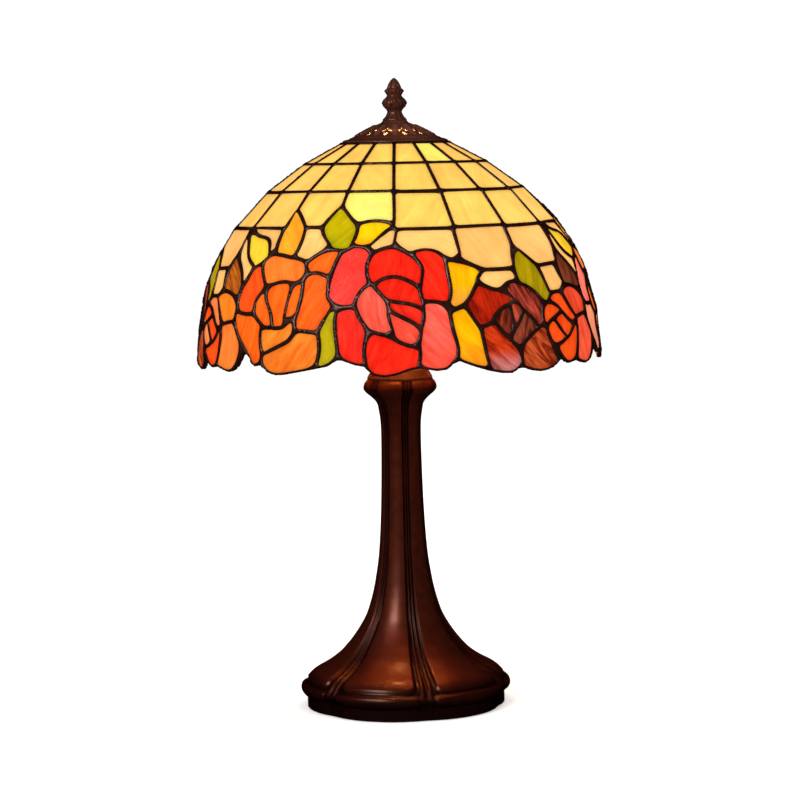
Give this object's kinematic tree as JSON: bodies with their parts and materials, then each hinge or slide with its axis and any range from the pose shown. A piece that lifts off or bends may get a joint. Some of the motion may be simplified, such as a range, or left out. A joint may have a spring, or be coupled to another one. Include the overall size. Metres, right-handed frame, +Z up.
{
  "type": "stained glass table lamp",
  "caption": "Table lamp with a leaded glass dome shade of roses and leaves on a harp, over a lobed cast base with a screw socket and bulb.",
  "frame": {"origin": "middle of the underside of the base, on the table", "axes": "+Z up, -Y towards the front of the lamp, +X to its right as seen from the front"},
  "size_m": [0.3059, 0.3058, 0.477],
  "materials": {
    "felt": "pressed felt",
    "steel": "zinc plated steel",
    "bronze": "satin antique bronze over a cast body",
    "rubber": "moulded black rubber",
    "brass": "satin brass",
    "phenolic": "moulded phenolic",
    "card": "fibre insulating card",
    "key": "dark moulded key",
    "bulb": "frosted, lit from inside",
    "stem": "clear stem with filament",
    "solder": "dark patinated solder",
    "cream": "warm opalescent glass, streaky",
    "red": "bright red streaky glass",
    "orange": "orange streaky glass",
    "brown": "dark red-brown wispy glass",
    "coral": "red-orange streaky glass",
    "green": "yellow-green glass",
    "amber": "amber streaky glass",
    "yellow": "yellow glass",
    "tan": "light orange glass",
    "umber": "brown wispy glass",
    "olive": "olive glass"
  },
  "bodies": {
    "stand": {"felt_pad": "felt", "weight_plate": "steel", "base_casting": "bronze", "cord_grommet": "rubber", "pipe_washer": "steel", "pipe_nut": "steel", "lamp_pipe": "steel", "collar_cap": "bronze", "harp_saddle": "brass", "saddle_nut": "brass", "socket_cap": "brass", "socket_core": "phenolic", "screw_shell": "brass", "socket_sleeve": "card", "socket_shell": "brass"},
    "switch": {"switch_key": "key"},
    "bulb": {"bulb_cap": "brass", "bulb_stem": "stem", "bulb_glass": "bulb"},
    "harp": {"harp_frame": "brass", "harp_hub": "brass"},
    "ferrule_left": {"harp_ferrule_left": "brass"},
    "ferrule_right": {"harp_ferrule_right": "brass"},
    "shade": {"solder_web": "solder", "aperture_ring": "brass", "shade_cap": "bronze", "cream_upper_row": "cream", "cream_middle_row": "cream", "cream_lower_row": "cream", "cream_fill_panes": "cream", "red_rose_petals": "red", "orange_rose_petals": "orange", "brown_rose_petals": "brown", "small_rose_petals": "coral", "green_leaves": "green", "amber_leaves": "amber", "yellow_leaves": "yellow", "orange_leaves": "tan", "brown_leaves": "umber", "olive_leaves": "olive"},
    "finial": {"finial": "bronze"}
  },
  "joints": [
    {"name": "harp_lift", "type": "slide", "parent": "stand", "child": "harp", "axis": [0, 0, 1], "range_m": [0, 0.24]},
    {"name": "ferrule_left_slide", "type": "slide", "parent": "harp", "child": "ferrule_left", "axis": [0, 0, 1], "range_m": [0, 0.016]},
    {"name": "ferrule_right_slide", "type": "slide", "parent": "harp", "child": "ferrule_right", "axis": [0, 0, 1], "range_m": [0, 0.016]},
    {"name": "shade_turn", "type": "hinge", "parent": "harp", "child": "shade", "pos_m": [0, 0, 0.445], "axis": [0, 0, 1], "continuous": true},
    {"name": "finial_lift", "type": "slide", "parent": "harp", "child": "finial", "axis": [0, 0, 1], "range_m": [0, 0.03]},
    {"name": "bulb_lift", "type": "slide", "parent": "stand", "child": "bulb", "axis": [0, 0, 1], "range_m": [0, 0.03]},
    {"name": "switch_turn", "type": "hinge", "parent": "stand", "child": "switch", "pos_m": [0, 0.02, 0.297], "axis": [0, 1, 0], "continuous": true}
  ]
}
